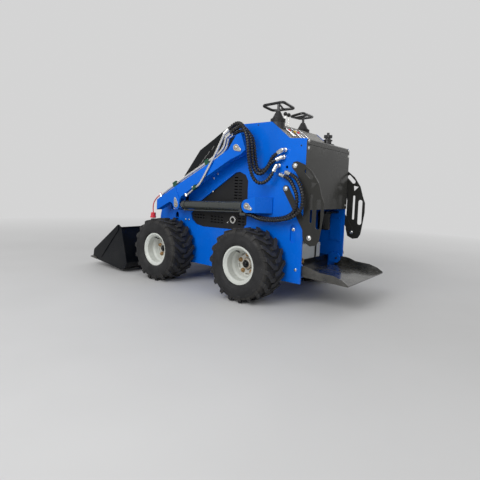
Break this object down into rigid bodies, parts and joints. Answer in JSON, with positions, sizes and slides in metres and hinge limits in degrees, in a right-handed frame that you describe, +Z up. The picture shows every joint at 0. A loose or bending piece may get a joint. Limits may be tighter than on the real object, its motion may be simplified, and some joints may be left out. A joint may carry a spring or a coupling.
{
  "type": "stand-on mini skid steer loader",
  "caption": "Compact wheeled skid steer loader with lift arms, a bucket and a rear standing platform that folds up.",
  "frame": {"origin": "on the ground under the middle of the machine's bounding box", "axes": "+Z up, -Y the way it drives with the bucket ahead, +X to the side that the picture shows"},
  "size_m": [1.07, 2.212, 1.255],
  "materials": {
    "blue_paint": "gloss royal blue paint",
    "black_paint": "gloss black paint",
    "cover_grey": "semi-gloss dark grey paint",
    "grey_plate": "satin dark grey paint",
    "dark_sheet": "satin dark grey paint",
    "console_grey": "satin light grey paint",
    "tyre": "matt",
    "rim_paint": "satin cream grey paint",
    "hub_metal": "machined, slightly rusty",
    "axle_metal": "black painted",
    "engine_metal": "painted",
    "cylinder_paint": "satin gunmetal paint",
    "chrome_rod": "polished",
    "pin_steel": "zinc plated",
    "bucket_paint": "semi-gloss black paint",
    "edge_steel": "worn black paint",
    "battery_case": "light grey",
    "boot_rubber": "moulded",
    "black_bar": "satin black",
    "hose_rubber": "plastic spiral guard over rubber",
    "pipe_steel": "zinc plated",
    "clamp_paint": "satin dark green paint",
    "cap_plastic": "black plastic"
  },
  "bodies": {
    "root": {"side_plate_left": "blue_paint", "side_plate_right": "blue_paint", "base_bracket_left": "blue_paint", "base_bracket_right": "blue_paint", "belly_pan": "blue_paint", "hood": "black_paint", "engine_block": "engine_metal", "axle_front": "axle_metal", "axle_rear": "axle_metal", "side_grille_left": "dark_sheet", "side_grille_right": "dark_sheet", "console_plate": "console_grey", "rear_cover": "cover_grey", "guard_left": "grey_plate", "guard_right": "grey_plate", "guard_links": "grey_plate", "drive_handle_left": "black_bar", "drive_handle_right": "black_bar", "lever_boots": "boot_rubber", "base_pins": "pin_steel", "platform_lugs": "blue_paint", "battery_tray": "black_paint", "battery_box": "battery_case", "arm_hose_1": "hose_rubber", "arm_hose_2": "hose_rubber", "arm_hose_3": "hose_rubber", "lift_hose_1": "hose_rubber", "lift_hose_2": "hose_rubber", "hose_fittings": "pin_steel", "control_levers": "pin_steel", "filler_cap": "cap_plastic"},
    "arm": {"lift_arm_left": "blue_paint", "lift_arm_right": "blue_paint", "arm_crossmember": "blue_paint", "arm_pins": "pin_steel", "arm_pipes": "pipe_steel", "pipe_clamps": "clamp_paint"},
    "bucket": {"bucket": "bucket_paint", "cutting_edge": "edge_steel", "bucket_mount": "black_paint", "bucket_pins": "pin_steel"},
    "tilt_barrel": {"tilt_barrel": "cylinder_paint"},
    "tilt_rod": {"tilt_rod": "chrome_rod"},
    "platform": {"platform": "black_paint"},
    "wheel_front_left": {"tyre_front_left": "tyre", "rim_front_left": "rim_paint", "hub_front_left": "hub_metal"},
    "wheel_front_right": {"tyre_front_right": "tyre", "rim_front_right": "rim_paint", "hub_front_right": "hub_metal"},
    "wheel_rear_left": {"tyre_rear_left": "tyre", "rim_rear_left": "rim_paint", "hub_rear_left": "hub_metal"},
    "wheel_rear_right": {"tyre_rear_right": "tyre", "rim_rear_right": "rim_paint", "hub_rear_right": "hub_metal"},
    "lift_barrel_left": {"lift_barrel_left": "cylinder_paint"},
    "lift_rod_left": {"lift_rod_left": "chrome_rod"},
    "lift_barrel_right": {"lift_barrel_right": "cylinder_paint"},
    "lift_rod_right": {"lift_rod_right": "chrome_rod"}
  },
  "joints": [
    {"name": "wheel_front_left_spin", "type": "hinge", "parent": "root", "child": "wheel_front_left", "pos_m": [0.42, -0.285, 0.228], "axis": [1, 0, 0], "continuous": true},
    {"name": "wheel_front_right_spin", "type": "hinge", "parent": "root", "child": "wheel_front_right", "pos_m": [-0.42, -0.285, 0.228], "axis": [1, 0, 0], "continuous": true},
    {"name": "wheel_rear_left_spin", "type": "hinge", "parent": "root", "child": "wheel_rear_left", "pos_m": [0.42, 0.497, 0.228], "axis": [1, 0, 0], "continuous": true},
    {"name": "wheel_rear_right_spin", "type": "hinge", "parent": "root", "child": "wheel_rear_right", "pos_m": [-0.42, 0.497, 0.228], "axis": [1, 0, 0], "continuous": true},
    {"name": "arm_lift", "type": "hinge", "parent": "root", "child": "arm", "pos_m": [0, 0.359, 0.955], "axis": [-1, 0, 0], "range_deg": [0, 75], "deforming": ["arm_hose_1", "arm_hose_2", "arm_hose_3"]},
    {"name": "lift_barrel_left_swing", "type": "hinge", "parent": "root", "child": "lift_barrel_left", "pos_m": [0.3725, 0.464, 0.586], "axis": [-1, 0, 0], "range_deg": [0, 54], "deforming": ["lift_hose_1", "lift_hose_2"]},
    {"name": "lift_rod_left_slide", "type": "slide", "parent": "lift_barrel_left", "child": "lift_rod_left", "axis": [0, -0.9992, -0.0402], "range_m": [0, 0.362]},
    {"name": "lift_barrel_right_swing", "type": "hinge", "parent": "root", "child": "lift_barrel_right", "pos_m": [-0.3725, 0.464, 0.586], "axis": [-1, 0, 0], "range_deg": [0, 54]},
    {"name": "lift_rod_right_slide", "type": "slide", "parent": "lift_barrel_right", "child": "lift_rod_right", "axis": [0, -0.9992, -0.0402], "range_m": [0, 0.362]},
    {"name": "bucket_tilt", "type": "hinge", "parent": "arm", "child": "bucket", "pos_m": [0, -0.513, 0.105], "axis": [1, 0, 0], "range_deg": [-20, 110]},
    {"name": "tilt_barrel_swing", "type": "hinge", "parent": "arm", "child": "tilt_barrel", "pos_m": [0, -0.493, 0.64], "axis": [1, 0, 0], "range_deg": [-3, 1]},
    {"name": "tilt_rod_slide", "type": "slide", "parent": "tilt_barrel", "child": "tilt_rod", "axis": [0, -0.1598, -0.9871], "range_m": [-0.03, 0.161]},
    {"name": "platform_fold", "type": "hinge", "parent": "root", "child": "platform", "pos_m": [0, 0.779, 0.228], "axis": [1, 0, 0], "range_deg": [0, 85]}
  ],
  "couplings": [
    {"joint": "lift_barrel_left_swing", "follows": "arm_lift", "ratio": 0.7184},
    {"joint": "lift_rod_left_slide", "follows": "arm_lift", "m_per_rad": 0.2759},
    {"joint": "lift_barrel_right_swing", "follows": "arm_lift", "ratio": 0.7184},
    {"joint": "lift_rod_right_slide", "follows": "arm_lift", "m_per_rad": 0.2759},
    {"joint": "tilt_barrel_swing", "follows": "bucket_tilt", "ratio": -0.02},
    {"joint": "tilt_rod_slide", "follows": "bucket_tilt", "m_per_rad": 0.083}
  ]
}
